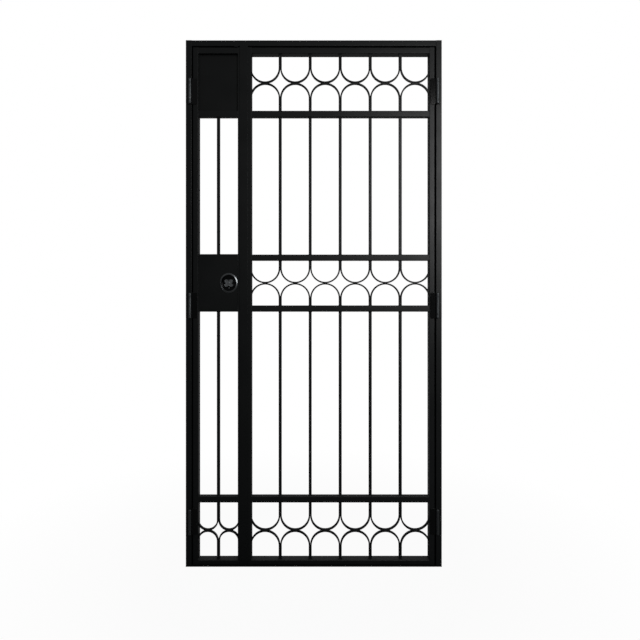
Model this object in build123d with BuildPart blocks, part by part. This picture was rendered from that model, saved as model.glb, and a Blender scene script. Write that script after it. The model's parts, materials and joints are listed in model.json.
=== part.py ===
from build123d import *
import os

os.makedirs("parts", exist_ok=True)

# A double-leaf security grille door of black painted steel, in millimetres.
# X runs across the doorway, Y from the outside (negative) to the inside, Z up.
# The origin is the middle of the sill's underside.

# Overall size and the surrounding frame
frame_width = 1038.0
frame_height = 2134.0
frame_depth = 50.0
frame_face = 24.0
sill_thickness = 3.0
swing_gap = 5.0
top_gap = 5.0
front = -frame_depth / 2
back = frame_depth / 2
frame_edge = frame_width / 2
doorway_edge = frame_edge - frame_face
doorway_top = frame_height - frame_face

# Stop strips that the leaves close against, behind the leaves
stop_lip = 20.0
stop_thickness = 3.0

# Sections of the leaves
leaf_depth = 38.0
stile_face = 22.0
rail_face = 25.0
rail_depth = 25.0
bottom_rail_face = 19.0
leaf_back = front + leaf_depth
rail_back = front + rail_depth
leaf_edge = doorway_edge - swing_gap
leaf_bottom = sill_thickness + swing_gap
leaf_top = doorway_top - top_gap
sheet_thickness = 2.0

# Meeting line of the two leaves, left of the middle of the doorway
small_meeting_edge = -286.0
large_meeting_edge = -275.0
small_inner_left = -leaf_edge + stile_face
small_inner_right = small_meeting_edge - stile_face
large_inner_left = large_meeting_edge + stile_face
large_inner_right = leaf_edge - stile_face

# Heights of the undersides of the rails, the same on both leaves
upper_rail_low = 1823.5
lock_upper_rail_low = 1240.5
lock_lower_rail_low = 1033.5
lower_rail_low = 260.0
bottom_rail_top = leaf_bottom + bottom_rail_face
top_rail_low = leaf_top - rail_face

# Grille bars and the bent flat-bar hoops
bar_size = 12.0
strip_thickness = 6.0
strip_depth = 12.0
grille_middle = front + rail_depth / 2
crown_weld = 1.0
large_hoop_count = 6
small_hoop_count = 2

# Recessed sheet at the top of the small leaf
panel_recess = 12.0

# Butt hinges, three a side
hinge_heights = (1926.0, 1059.0, 184.0)
hinge_length = 104.0
end_knuckle = 17.0
knuckle_gap = 1.0
knuckle_radius = 6.5
pin_radius = 3.0
pin_play = 0.1
pin_x = leaf_edge + 10.5
pin_y = front - 7.0
flap_thickness = 3.0
flap_y = front - flap_thickness / 2
jamb_flap_in = pin_x + knuckle_radius + 0.5
jamb_flap_out = frame_edge - 1.0
leaf_flap_in = leaf_edge - 18.0
leaf_flap_out = pin_x - knuckle_radius - 1.0

# Lock box of the small leaf
lock_x = -344.0
lock_z = 1150.0
lock_plate_low = 1043.5
lock_plate_high = 1267.0
lock_plate_front = front - sheet_thickness
rose_radius = 37.0
dish_radius = 30.0
dish_wall = 1.5
dish_depth = 16.0
rose_rise = 5.0
rose_crest = 33.0
spindle_radius = 5.0
knob_width = 34.0
knob_height = 29.0
lobe_notch = 8.0
lobe_chamfer = 3.0
knob_front = lock_plate_front - 1.0
knob_back = lock_plate_front + 9.0
lock_case_width = 90.0
lock_case_height = 150.0
forend_width = 20.0
forend_length = 130.0
forend_thickness = 2.5

# Fixing holes through the jambs
fixing_radius = 4.25
fixing_y = 6.0
fixing_heights = (300.0, 800.0, 1300.0, 1800.0)


def save(piece, name):
    """Label a finished piece and write it to its own file."""
    piece.part.label = name
    export_step(piece.part, f"parts/{name}.step")


def facing(y):
    """Upright sketch plane at a depth, seen from the outside."""
    return Plane.XZ.offset(-y)


def slab(x_low, x_high, y_low, y_high, z_low, z_high):
    """Plain rectangular bar or sheet between six limits."""
    with BuildPart() as piece:
        with BuildSketch(Plane.XY.offset(z_low)):
            with Locations(((x_low + x_high) / 2, (y_low + y_high) / 2)):
                Rectangle(x_high - x_low, y_high - y_low)
        extrude(amount=z_high - z_low)
    return piece


def section(x_low, x_high, z_low, z_high, depth):
    """Standing or level square section, flush with the outside of the frame."""
    return slab(x_low, x_high, front, front + depth, z_low, z_high)


def bar_lines(x_low, x_high, count):
    """Lines on which the hoops of a row of this many meet, and the pitch between them."""
    pitch = (x_high - x_low + 2 * strip_thickness) / count
    first = x_low - strip_thickness + pitch
    return [first + pitch * step for step in range(count - 1)], pitch


def upright_bars(x_low, x_high, count, z_low, z_high):
    """Square bars standing on the lines between the hoops."""
    lines, _ = bar_lines(x_low, x_high, count)
    with BuildPart() as bars:
        with BuildSketch(Plane.XY.offset(z_low)):
            with Locations(*[(x, grille_middle) for x in lines]):
                Rectangle(bar_size, bar_size)
        extrude(amount=z_high - z_low)
    return bars


def hoop_lattice(x_low, x_high, count, zones):
    """Rows of facing bent flat-bar hoops in each zone, welded leg to leg and crown to crown."""
    lines, pitch = bar_lines(x_low, x_high, count)
    centres = [lines[0] - pitch / 2 + pitch * step for step in range(count)]
    outer = pitch / 2
    inner = outer - strip_thickness
    with BuildPart() as lattice:
        for z_low, z_high in zones:
            middle = (z_low + z_high) / 2
            arch = middle + crown_weld / 2 - outer
            cradle = middle - crown_weld / 2 + outer
            rows = ((arch, z_low), (cradle, z_high))
            with BuildSketch(facing(grille_middle + strip_depth / 2)):
                for radius, mode in ((outer, Mode.ADD), (inner, Mode.SUBTRACT)):
                    for bend, leg_end in rows:
                        with Locations(*[(x, bend) for x in centres]):
                            Circle(radius, mode=mode)
                        with Locations(*[(x, (bend + leg_end) / 2) for x in centres]):
                            Rectangle(2 * radius, abs(leg_end - bend), mode=mode)
                with Locations(((x_low + x_high) / 2, middle)):
                    Rectangle(x_high - x_low, z_high - z_low, mode=Mode.INTERSECT)
            extrude(amount=strip_depth)
    return lattice


def jamb_hinge_plates(side):
    """Fixed half of one side's hinges: a flap, a knuckle at each end and the riveted pin."""
    with BuildPart() as plates:
        for middle in hinge_heights:
            low = middle - hinge_length / 2
            with BuildSketch(Plane.XY.offset(low)):
                with Locations((side * (jamb_flap_in + jamb_flap_out) / 2, flap_y)):
                    Rectangle(jamb_flap_out - jamb_flap_in, flap_thickness)
            extrude(amount=hinge_length)
            for start in (low, low + hinge_length - end_knuckle):
                with BuildSketch(Plane.XY.offset(start)):
                    with Locations((side * pin_x, pin_y)):
                        Circle(knuckle_radius)
                    with Locations((side * (pin_x + jamb_flap_in) / 2, flap_y)):
                        Rectangle(jamb_flap_in - pin_x, flap_thickness)
                extrude(amount=end_knuckle)
            with Locations((side * pin_x, pin_y, middle)):
                Cylinder(pin_radius, hinge_length - 2 * end_knuckle)
    return plates


def leaf_hinge_plates(side):
    """Moving half of one side's hinges: a flap on the stile and one long knuckle."""
    with BuildPart() as plates:
        for middle in hinge_heights:
            knuckle = hinge_length - 2 * (end_knuckle + knuckle_gap)
            with BuildSketch(Plane.XY.offset(middle - hinge_length / 2)):
                with Locations((side * (leaf_flap_in + leaf_flap_out) / 2, flap_y)):
                    Rectangle(leaf_flap_out - leaf_flap_in, flap_thickness)
            extrude(amount=hinge_length)
            with BuildSketch(Plane.XY.offset(middle - knuckle / 2)):
                with Locations((side * pin_x, pin_y)):
                    Circle(knuckle_radius)
                with Locations((side * (leaf_flap_out + pin_x) / 2, flap_y)):
                    Rectangle(pin_x - leaf_flap_out, flap_thickness)
                with Locations((side * pin_x, pin_y)):
                    Circle(pin_radius + pin_play, mode=Mode.SUBTRACT)
            extrude(amount=knuckle)
    return plates


def drilled_jamb(side):
    """Jamb with its row of fixing holes, drilled straight through to the wall."""
    x_low, x_high = sorted((side * doorway_edge, side * frame_edge))
    with BuildPart() as jamb:
        with BuildSketch(Plane.XY.offset(sill_thickness)):
            with Locations(((x_low + x_high) / 2, 0)):
                Rectangle(frame_face, frame_depth)
        extrude(amount=frame_height - sill_thickness)
        with BuildSketch(Plane.YZ.offset(x_low)):
            with Locations(*[(fixing_y, z) for z in fixing_heights]):
                Circle(fixing_radius)
        extrude(amount=frame_face, mode=Mode.SUBTRACT)
    return jamb


def let_in_stile(x_low, x_high, pocket_x):
    """Meeting stile with a shallow pocket in its edge, for the lock's forend or strike."""
    with BuildPart() as stile:
        with BuildSketch(Plane.XY.offset(leaf_bottom)):
            with Locations(((x_low + x_high) / 2, front + leaf_depth / 2)):
                Rectangle(x_high - x_low, leaf_depth)
        extrude(amount=leaf_top - leaf_bottom)
        with Locations((pocket_x, front + leaf_depth / 2, lock_z)):
            Box(forend_thickness, forend_width, forend_length, mode=Mode.SUBTRACT)
    return stile


# Frame
save(drilled_jamb(-1), "left_jamb")
save(drilled_jamb(1), "right_jamb")
save(section(-doorway_edge, doorway_edge, doorway_top, frame_height, frame_depth), "head")
save(slab(-frame_edge, frame_edge, front, back, 0, sill_thickness), "sill")

stop_front = leaf_back + swing_gap
stop_back = stop_front + stop_thickness
stop_edge = doorway_edge - stop_lip
save(
    slab(-doorway_edge, -stop_edge, stop_front, stop_back, sill_thickness, doorway_top),
    "left_stop",
)
save(
    slab(stop_edge, doorway_edge, stop_front, stop_back, sill_thickness, doorway_top),
    "right_stop",
)
save(
    slab(-stop_edge, stop_edge, stop_front, stop_back, doorway_top - stop_lip, doorway_top),
    "head_stop",
)
save(
    slab(-stop_edge, stop_edge, stop_front, stop_back, sill_thickness, stop_lip),
    "sill_stop",
)
save(jamb_hinge_plates(-1), "left_jamb_hinge_plates")
save(jamb_hinge_plates(1), "right_jamb_hinge_plates")

# Large leaf
save(
    section(large_inner_right, leaf_edge, leaf_bottom, leaf_top, leaf_depth),
    "large_hinge_stile",
)
strike_x = large_meeting_edge + forend_thickness / 2
save(
    let_in_stile(large_meeting_edge, large_inner_left, strike_x),
    "large_meeting_stile",
)
large_rails = {
    "large_top_rail": (top_rail_low, leaf_top, leaf_depth),
    "large_upper_rail": (upper_rail_low, upper_rail_low + rail_face, rail_depth),
    "large_lock_upper_rail": (lock_upper_rail_low, lock_upper_rail_low + rail_face, rail_depth),
    "large_lock_lower_rail": (lock_lower_rail_low, lock_lower_rail_low + rail_face, rail_depth),
    "large_lower_rail": (lower_rail_low, lower_rail_low + rail_face, rail_depth),
    "large_bottom_rail": (leaf_bottom, bottom_rail_top, leaf_depth),
}
for name, (z_low, z_high, depth) in large_rails.items():
    save(section(large_inner_left, large_inner_right, z_low, z_high, depth), name)

large_span = (large_inner_left, large_inner_right, large_hoop_count)
upper_bars_zone = (lock_upper_rail_low + rail_face, upper_rail_low)
lower_bars_zone = (lower_rail_low + rail_face, lock_lower_rail_low)
top_hoops_zone = (upper_rail_low + rail_face, top_rail_low)
middle_hoops_zone = (lock_lower_rail_low + rail_face, lock_upper_rail_low)
low_hoops_zone = (bottom_rail_top, lower_rail_low)
save(upright_bars(*large_span, *upper_bars_zone), "large_upper_bars")
save(upright_bars(*large_span, *lower_bars_zone), "large_lower_bars")
large_hoop_zones = (top_hoops_zone, middle_hoops_zone, low_hoops_zone)
save(hoop_lattice(*large_span, large_hoop_zones), "large_hoops")
save(leaf_hinge_plates(1), "large_hinge_plates")

with BuildPart() as strike_plate:
    with Locations((strike_x, front + leaf_depth / 2, lock_z)):
        Box(forend_thickness, forend_width, forend_length)
save(strike_plate, "strike_plate")

# Small leaf
save(
    section(-leaf_edge, small_inner_left, leaf_bottom, leaf_top, leaf_depth),
    "small_hinge_stile",
)
forend_x = small_meeting_edge - forend_thickness / 2
save(
    let_in_stile(small_inner_right, small_meeting_edge, forend_x),
    "small_meeting_stile",
)
for name, (z_low, z_high, depth) in large_rails.items():
    small_name = name.replace("large", "small")
    save(section(small_inner_left, small_inner_right, z_low, z_high, depth), small_name)

small_span = (small_inner_left, small_inner_right, small_hoop_count)
save(upright_bars(*small_span, *upper_bars_zone), "small_upper_bar")
save(upright_bars(*small_span, *lower_bars_zone), "small_lower_bar")
save(hoop_lattice(*small_span, [low_hoops_zone]), "small_hoops")
save(leaf_hinge_plates(-1), "small_hinge_plates")

panel_front = front + panel_recess
save(
    slab(
        small_inner_left,
        small_inner_right,
        panel_front,
        panel_front + sheet_thickness,
        top_hoops_zone[0],
        top_hoops_zone[1],
    ),
    "small_top_panel",
)

# Lock box on the small leaf
with BuildPart() as lock_front_plate:
    with BuildSketch(facing(front)):
        with Locations(
            ((small_inner_left + small_inner_right) / 2, (lock_plate_low + lock_plate_high) / 2)
        ):
            Rectangle(small_inner_right - small_inner_left, lock_plate_high - lock_plate_low)
        with Locations((lock_x, lock_z)):
            Circle(dish_radius + dish_wall, mode=Mode.SUBTRACT)
    extrude(amount=sheet_thickness)
save(lock_front_plate, "lock_front_plate")
save(
    slab(
        small_inner_left,
        small_inner_right,
        rail_back,
        rail_back + sheet_thickness,
        lock_lower_rail_low,
        lock_upper_rail_low + rail_face,
    ),
    "lock_back_plate",
)

# Bevelled round rose with a deep dish, turned about the knob's axis
rose_axis = Axis((lock_x, 0, lock_z), (0, 1, 0))
rose_plane = Plane(origin=(lock_x, lock_plate_front, lock_z), x_dir=(1, 0, 0), z_dir=(0, 0, 1))
dish_outside = dish_radius + dish_wall
with BuildPart() as lock_rose:
    with BuildSketch(rose_plane):
        with BuildLine():
            Polyline(
                (spindle_radius + pin_play, dish_depth),
                (dish_outside, dish_depth),
                (dish_outside, 0),
                (rose_radius, 0),
                (rose_crest, -rose_rise),
                (dish_radius, -rose_rise),
                (dish_radius, dish_depth - dish_wall),
                (spindle_radius + pin_play, dish_depth - dish_wall),
                close=True,
            )
        make_face()
    revolve(axis=rose_axis)
save(lock_rose, "lock_rose")

# Turn knob on its spindle, notched on each side into four lobes
with BuildPart() as lock_knob:
    with BuildSketch(facing(knob_back)) as lobes:
        with Locations((lock_x, lock_z)):
            Rectangle(knob_width, knob_height)
        with Locations(
            (lock_x - knob_width / 2, lock_z),
            (lock_x + knob_width / 2, lock_z),
            (lock_x, lock_z - knob_height / 2),
            (lock_x, lock_z + knob_height / 2),
        ):
            Rectangle(lobe_notch, lobe_notch, rotation=45, mode=Mode.SUBTRACT)
        chamfer(lobes.vertices().sort_by_distance((lock_x, lock_z))[-4:], length=lobe_chamfer)
    extrude(amount=knob_back - knob_front)
    with BuildSketch(facing(lock_plate_front + dish_depth)):
        with Locations((lock_x, lock_z)):
            Circle(spindle_radius)
    extrude(amount=dish_depth - (knob_back - lock_plate_front))
save(lock_knob, "lock_knob")

# Lock case inside the box, with its forend let into the meeting stile
case_front = lock_plate_front + dish_depth + 1.0
save(
    slab(
        small_inner_right - lock_case_width,
        small_inner_right,
        case_front,
        rail_back,
        lock_z - lock_case_height / 2,
        lock_z + lock_case_height / 2,
    ),
    "lock_case",
)
with BuildPart() as lock_forend:
    with Locations((forend_x, front + leaf_depth / 2, lock_z)):
        Box(forend_thickness, forend_width, forend_length)
save(lock_forend, "lock_forend")
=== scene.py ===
import json
import logging
import math
from contextlib import contextmanager
from dataclasses import dataclass
from enum import Enum
from typing import Callable, Iterator

import bmesh
import bpy
from mathutils import Matrix, Vector


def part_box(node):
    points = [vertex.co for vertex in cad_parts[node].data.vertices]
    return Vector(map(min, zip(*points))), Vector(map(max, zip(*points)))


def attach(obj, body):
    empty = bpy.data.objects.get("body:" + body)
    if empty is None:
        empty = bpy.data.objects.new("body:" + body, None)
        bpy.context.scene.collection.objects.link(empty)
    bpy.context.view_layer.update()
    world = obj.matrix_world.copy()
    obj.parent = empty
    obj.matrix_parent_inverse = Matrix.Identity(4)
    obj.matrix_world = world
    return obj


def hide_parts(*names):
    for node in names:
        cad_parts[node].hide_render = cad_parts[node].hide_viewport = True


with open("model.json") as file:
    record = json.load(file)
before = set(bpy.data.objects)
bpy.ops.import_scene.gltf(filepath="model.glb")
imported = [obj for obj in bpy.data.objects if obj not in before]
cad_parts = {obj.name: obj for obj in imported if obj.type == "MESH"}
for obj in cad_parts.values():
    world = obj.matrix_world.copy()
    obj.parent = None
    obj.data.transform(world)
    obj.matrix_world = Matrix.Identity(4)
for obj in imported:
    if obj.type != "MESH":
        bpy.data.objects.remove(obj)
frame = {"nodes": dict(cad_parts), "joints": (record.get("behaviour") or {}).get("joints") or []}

# Looks of the double-leaf security grille door. Sizes are in metres, in the frame's axes:
# X across the doorway, Y from the outside (negative) to the inside, Z up.

log = logging.getLogger("grille_door")
MM = 0.001
# Distance within which places count as the same
NEAR = 0.01 * MM
# Angle between faces past which an edge counts as sharp
SHARP_DEGREES = 40.0
# Band that nearly all values of a noise texture lie in
NOISE_BAND = {"From Min": 0.3, "From Max": 0.7}
# Colour sockets of a Mix node, whose other sockets have the same names
MIX_A = 6
MIX_B = 7
MIX_RESULT = 2
WHITE = (1.0, 1.0, 1.0, 1.0)
RAILS = ("top", "upper", "lock_upper", "lock_lower", "lower", "bottom")

Piece = bpy.types.Object
Material = bpy.types.Material
Edge = bmesh.types.BMEdge
Face = bmesh.types.BMFace
Box = tuple[Vector, Vector]
Span = tuple[float, float]


def linear(code: str) -> tuple[float, float, float, float]:
    """Turns an sRGB hex colour into linear light.

    Args:
        code: Colour such as "#0E1111".

    Returns:
        Red, green, blue and a full alpha, in linear light.
    """
    channels = [int(code[start:start + 2], 16) / 255 for start in (1, 3, 5)]
    lit = [c / 12.92 if c <= 0.04045 else ((c + 0.055) / 1.055) ** 2.4 for c in channels]
    return (lit[0], lit[1], lit[2], 1.0)


def add_node(tree: bpy.types.NodeTree, kind: str, settings: dict, links: dict) -> bpy.types.Node:
    """Adds a node with its settings and links.

    Args:
        tree: Node tree that the node joins.
        kind: Type of the node.
        settings: Values by the name of a property, or by the name or number of an input.
        links: Outputs of other nodes, by the name or number of the input that they feed.

    Returns:
        The new node.
    """
    node = tree.nodes.new(kind)
    for name, value in settings.items():
        if isinstance(name, int) or name in node.inputs:
            node.inputs[name].default_value = value
        else:
            setattr(node, name, value)
    for name, output in links.items():
        tree.links.new(output, node.inputs[name])
    return node


def blank_material(name: str) -> tuple[Material, bpy.types.NodeTree]:
    """Makes a material with an empty node tree.

    Args:
        name: Name of the material.

    Returns:
        The material and its node tree.
    """
    material = bpy.data.materials.new(name)
    material.use_nodes = True
    material.node_tree.nodes.clear()
    return material, material.node_tree


@dataclass(frozen=True)
class Enamel:
    """Enamel on steel: dark colour, uneven sheen, orange peel, dust with painted light from above on
    upward faces, and worn edges.
    """

    name: str
    colour: str
    worn: str
    # Pale colour on upward faces: dust, and painted light from above on the tops
    dust_and_top_light: str
    roughness: float
    uneven: float
    peel: float
    peel_depth: float
    patch: float = 140 * MM
    grime: float = 9 * MM
    top_dust_and_light_from: float = 0.4
    top_dust_and_light_share: float = 0.5
    wear_from: float = 0.515
    wear_to: float = 0.6
    wear_share: float = 0.5
    peel_strength: float = 0.4

    def material(self) -> Material:
        """Builds the node tree of this enamel.

        Returns:
            The material.
        """
        material, tree = blank_material(self.name)
        place = add_node(tree, "ShaderNodeTexCoord", {}, {}).outputs["Object"]
        surface = add_node(tree, "ShaderNodeNewGeometry", {}, {}).outputs
        # Patches about as wide as a spray pass, where the film is thinner and duller
        patches = add_node(
            tree, "ShaderNodeTexNoise", {"Scale": 1 / self.patch, "Detail": 3.0}, {"Vector": place}
        ).outputs["Fac"]
        # Small spots that break up the dust and the painted top light
        spots = add_node(
            tree, "ShaderNodeTexNoise", {"Scale": 1 / self.grime, "Detail": 4.0}, {"Vector": place}
        ).outputs["Fac"]
        # Dust lies on what faces up, and the same pale mix paints the light from above on the tops
        up = add_node(tree, "ShaderNodeSeparateXYZ", {}, {"Vector": surface["Normal"]}).outputs["Z"]
        upward_dust_and_light = add_node(
            tree,
            "ShaderNodeMapRange",
            {"From Min": self.top_dust_and_light_from, "From Max": 1.0, "To Max": self.top_dust_and_light_share},
            {"Value": up},
        ).outputs["Result"]
        dust_and_top_light_mask = add_node(
            tree, "ShaderNodeMath", {"operation": "MULTIPLY"}, {0: upward_dust_and_light, 1: spots}
        ).outputs["Value"]
        # Paint is thinner and rubbed along edges
        rubbed = add_node(
            tree,
            "ShaderNodeMapRange",
            {"From Min": self.wear_from, "From Max": self.wear_to, "To Max": self.wear_share},
            {"Value": surface["Pointiness"]},
        ).outputs["Result"]
        edged = add_node(
            tree,
            "ShaderNodeMix",
            {"data_type": "RGBA", MIX_A: linear(self.colour), MIX_B: linear(self.worn)},
            {0: rubbed},
        ).outputs[MIX_RESULT]
        coloured = add_node(
            tree,
            "ShaderNodeMix",
            {"data_type": "RGBA", MIX_B: linear(self.dust_and_top_light)},
            {0: dust_and_top_light_mask, MIX_A: edged},
        ).outputs[MIX_RESULT]
        low = self.roughness - self.uneven
        high = self.roughness + self.uneven
        sheen = add_node(
            tree,
            "ShaderNodeMapRange",
            {**NOISE_BAND, "To Min": low, "To Max": high},
            {"Value": patches},
        ).outputs["Result"]
        dulled = add_node(
            tree, "ShaderNodeMath", {"operation": "ADD"}, {0: sheen, 1: dust_and_top_light_mask}
        ).outputs["Value"]
        # Orange peel of the film
        peel = add_node(
            tree, "ShaderNodeTexNoise", {"Scale": 1 / self.peel, "Detail": 1.0}, {"Vector": place}
        ).outputs["Fac"]
        bump = add_node(
            tree,
            "ShaderNodeBump",
            {"Strength": self.peel_strength, "Distance": self.peel_depth},
            {"Height": peel},
        ).outputs["Normal"]
        shader = add_node(
            tree,
            "ShaderNodeBsdfPrincipled",
            {},
            {"Base Color": coloured, "Roughness": dulled, "Normal": bump},
        )
        add_node(tree, "ShaderNodeOutputMaterial", {}, {"Surface": shader.outputs["BSDF"]})
        return material


@dataclass(frozen=True)
class PlatedMetal:
    """Bare or plated metal: tint, stains and fine grain, turned about an axis where one is given."""

    name: str
    colour: str
    stain: str
    roughness: float
    uneven: float
    grain: float
    grain_depth: float
    turned_about: Vector | None = None
    stain_size: float = 18 * MM
    grain_strength: float = 0.5

    def material(self) -> Material:
        """Builds the node tree of this metal.

        Returns:
            The material.
        """
        material, tree = blank_material(self.name)
        place = add_node(tree, "ShaderNodeTexCoord", {}, {}).outputs["Object"]
        stains = add_node(
            tree,
            "ShaderNodeTexNoise",
            {"Scale": 1 / self.stain_size, "Detail": 4.0},
            {"Vector": place},
        ).outputs["Fac"]
        coloured = add_node(
            tree,
            "ShaderNodeMix",
            {"data_type": "RGBA", MIX_A: linear(self.colour), MIX_B: linear(self.stain)},
            {0: stains},
        ).outputs[MIX_RESULT]
        low = self.roughness - self.uneven
        high = self.roughness + self.uneven
        sheen = add_node(
            tree,
            "ShaderNodeMapRange",
            {**NOISE_BAND, "To Min": low, "To Max": high},
            {"Value": stains},
        ).outputs["Result"]
        if self.turned_about is None:
            grain = add_node(
                tree, "ShaderNodeTexNoise", {"Scale": 1 / self.grain}, {"Vector": place}
            ).outputs["Fac"]
        else:
            centred = add_node(
                tree,
                "ShaderNodeMapping",
                {"vector_type": "POINT", "Location": -self.turned_about},
                {"Vector": place},
            ).outputs["Vector"]
            # At scale 1 the rings of the wave texture are tau / 20 of a metre apart
            scale = math.tau / (20 * self.grain)
            grain = add_node(
                tree,
                "ShaderNodeTexWave",
                {"wave_type": "RINGS", "rings_direction": "Y", "Scale": scale},
                {"Vector": centred},
            ).outputs["Fac"]
        bump = add_node(
            tree,
            "ShaderNodeBump",
            {"Strength": self.grain_strength, "Distance": self.grain_depth},
            {"Height": grain},
        ).outputs["Normal"]
        shader = add_node(
            tree,
            "ShaderNodeBsdfPrincipled",
            {"Metallic": 1.0},
            {"Base Color": coloured, "Roughness": sheen, "Normal": bump},
        )
        add_node(tree, "ShaderNodeOutputMaterial", {}, {"Surface": shader.outputs["BSDF"]})
        return material


# Satin black alkyd enamel, sprayed: nearly black, with a broad soft sheen
SATIN_ENAMEL = Enamel(
    name="satin_black_enamel_sprayed",
    colour="#0D1011",
    worn="#1D2021",
    dust_and_top_light="#3B3E3E",
    roughness=0.40,
    uneven=0.05,
    peel=2.5 * MM,
    peel_depth=0.06 * MM,
)
# Gloss black enamel, dipped: darker and sharper in its highlights. The lock's dish wears it too, as
# painted shade in its recess
GLOSS_ENAMEL = Enamel(
    name="gloss_black_enamel_dipped",
    colour="#050708",
    worn="#1A1C1C",
    dust_and_top_light="#33373A",
    roughness=0.12,
    uneven=0.03,
    peel=5 * MM,
    peel_depth=0.015 * MM,
)
# The frame's enamel over weld metal: rougher, with spatter in it
WELD_ENAMEL = Enamel(
    name="black_enamel_over_weld",
    colour="#0D1011",
    worn="#222524",
    dust_and_top_light="#3B3E3E",
    roughness=0.46,
    uneven=0.08,
    peel=1.2 * MM,
    peel_depth=0.15 * MM,
)
# Bare steel where turning has rubbed the knuckles: a soft bright line down each barrel, which
# the painted flaps beside it lack
WORN_STEEL = PlatedMetal(
    name="worn_bare_steel_turned",
    colour="#868A8C",
    stain="#626668",
    roughness=0.42,
    uneven=0.05,
    grain=2.5 * MM,
    grain_depth=0.03 * MM,
)
# Nickel plate over a turned die casting: rings of fine tool marks catch the light
TURNED_NICKEL = PlatedMetal(
    name="nickel_plate_turned",
    colour="#989C9E",
    stain="#6E7275",
    roughness=0.28,
    uneven=0.05,
    grain=0.9 * MM,
    grain_depth=0.02 * MM,
    turned_about=Vector((-344 * MM, -27 * MM, 1150 * MM)),
)
# Satin nickel over a die casting: a soft pearly grain, dull enough to hold the lamp's glow
SATIN_NICKEL = PlatedMetal(
    name="satin_nickel_die_cast",
    colour="#A6AAAC",
    stain="#868A8D",
    roughness=0.46,
    uneven=0.05,
    grain=1.2 * MM,
    grain_depth=0.04 * MM,
)
# Bright zinc plate on pressed steel, as on lock cases and strikes: pale with a cloudy grain
BRIGHT_ZINC = PlatedMetal(
    name="bright_zinc_plate_pressed",
    colour="#B7BABB",
    stain="#8F9294",
    roughness=0.36,
    uneven=0.08,
    grain=1.4 * MM,
    grain_depth=0.02 * MM,
)


def clear_selection() -> None:
    """Deselects everything, so that an operator acts only on what is picked next."""
    bpy.ops.object.select_all(action="DESELECT")


def work_on(piece: Piece) -> None:
    """Makes a piece the only selected and the active object.

    Args:
        piece: Piece to work on.
    """
    clear_selection()
    piece.select_set(True)
    bpy.context.view_layer.objects.active = piece


@contextmanager
def editing(piece: Piece) -> Iterator[None]:
    """Holds a piece in edit mode, with nothing selected at first.

    Args:
        piece: Piece to edit.
    """
    work_on(piece)
    bpy.ops.object.mode_set(mode="EDIT")
    bpy.ops.mesh.select_mode(type="VERT")
    bpy.ops.mesh.select_all(action="DESELECT")
    yield
    bpy.ops.object.mode_set(mode="OBJECT")


def pick_edges(piece: Piece, wanted: Callable[[Edge], bool]) -> None:
    """Selects the edges of the piece in edit mode that pass a test.

    Args:
        piece: Piece that is in edit mode.
        wanted: Test that an edge has to pass.
    """
    bpy.ops.mesh.select_mode(type="EDGE")
    mesh = bmesh.from_edit_mesh(piece.data)
    for edge in mesh.edges:
        edge.select = wanted(edge)
    mesh.select_flush_mode()
    bmesh.update_edit_mesh(piece.data)


def pick_vertices(piece: Piece, wanted: Callable[[Vector], bool]) -> None:
    """Selects the vertices of the piece in edit mode whose places pass a test.

    Args:
        piece: Piece that is in edit mode.
        wanted: Test that a vertex's place has to pass.
    """
    bpy.ops.mesh.select_mode(type="VERT")
    mesh = bmesh.from_edit_mesh(piece.data)
    for vertex in mesh.verts:
        vertex.select = wanted(vertex.co)
    mesh.select_flush_mode()
    bmesh.update_edit_mesh(piece.data)


def pick_faces(piece: Piece, wanted: Callable[[Face], bool]) -> None:
    """Selects the faces of the piece in edit mode that pass a test.

    Args:
        piece: Piece that is in edit mode.
        wanted: Test that a face has to pass.
    """
    bpy.ops.mesh.select_mode(type="FACE")
    mesh = bmesh.from_edit_mesh(piece.data)
    for face in mesh.faces:
        face.select = wanted(face)
    mesh.select_flush_mode()
    bmesh.update_edit_mesh(piece.data)


def settle(piece: Piece, smooth_degrees: float = 40.0) -> None:
    """Puts a piece's place into its mesh, and shades it smooth with its flat faces kept flat.

    Args:
        piece: Piece to settle.
        smooth_degrees: Largest angle between faces that is shaded smooth.
    """
    work_on(piece)
    bpy.ops.object.transform_apply(location=True, rotation=True, scale=True)
    bpy.ops.object.shade_smooth_by_angle(angle=math.radians(smooth_degrees))
    bpy.ops.object.modifier_add(type="WEIGHTED_NORMAL")
    weighting = piece.modifiers[-1]
    weighting.keep_sharp = True
    bpy.ops.object.modifier_apply(modifier=weighting.name)


def block(name: str, low: Vector, high: Vector) -> Piece:
    """Adds a block between two corners, as the start of a piece.

    Args:
        name: Name of the piece.
        low: Lowest corner.
        high: Highest corner.

    Returns:
        The new object, with its place in its mesh.
    """
    clear_selection()
    bpy.ops.mesh.primitive_cube_add(size=1, location=(low + high) / 2, scale=high - low)
    piece = bpy.context.object
    piece.name = piece.data.name = name
    bpy.ops.object.transform_apply(location=True, rotation=True, scale=True)
    return piece


def merged_copy(name: str, node: str) -> Piece:
    """Copies a CAD node's mesh to a new piece, merged and with its flat faces whole.

    Args:
        name: Name of the new piece.
        node: CAD node to copy.

    Returns:
        The new object.
    """
    piece = bpy.data.objects.new(name, frame["nodes"][node].data.copy())
    piece.data.name = name
    bpy.context.scene.collection.objects.link(piece)
    with editing(piece):
        bpy.ops.mesh.select_all(action="SELECT")
        bpy.ops.mesh.remove_doubles(threshold=NEAR)
        bpy.ops.mesh.dissolve_limited(angle_limit=math.radians(1))
    return piece


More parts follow.
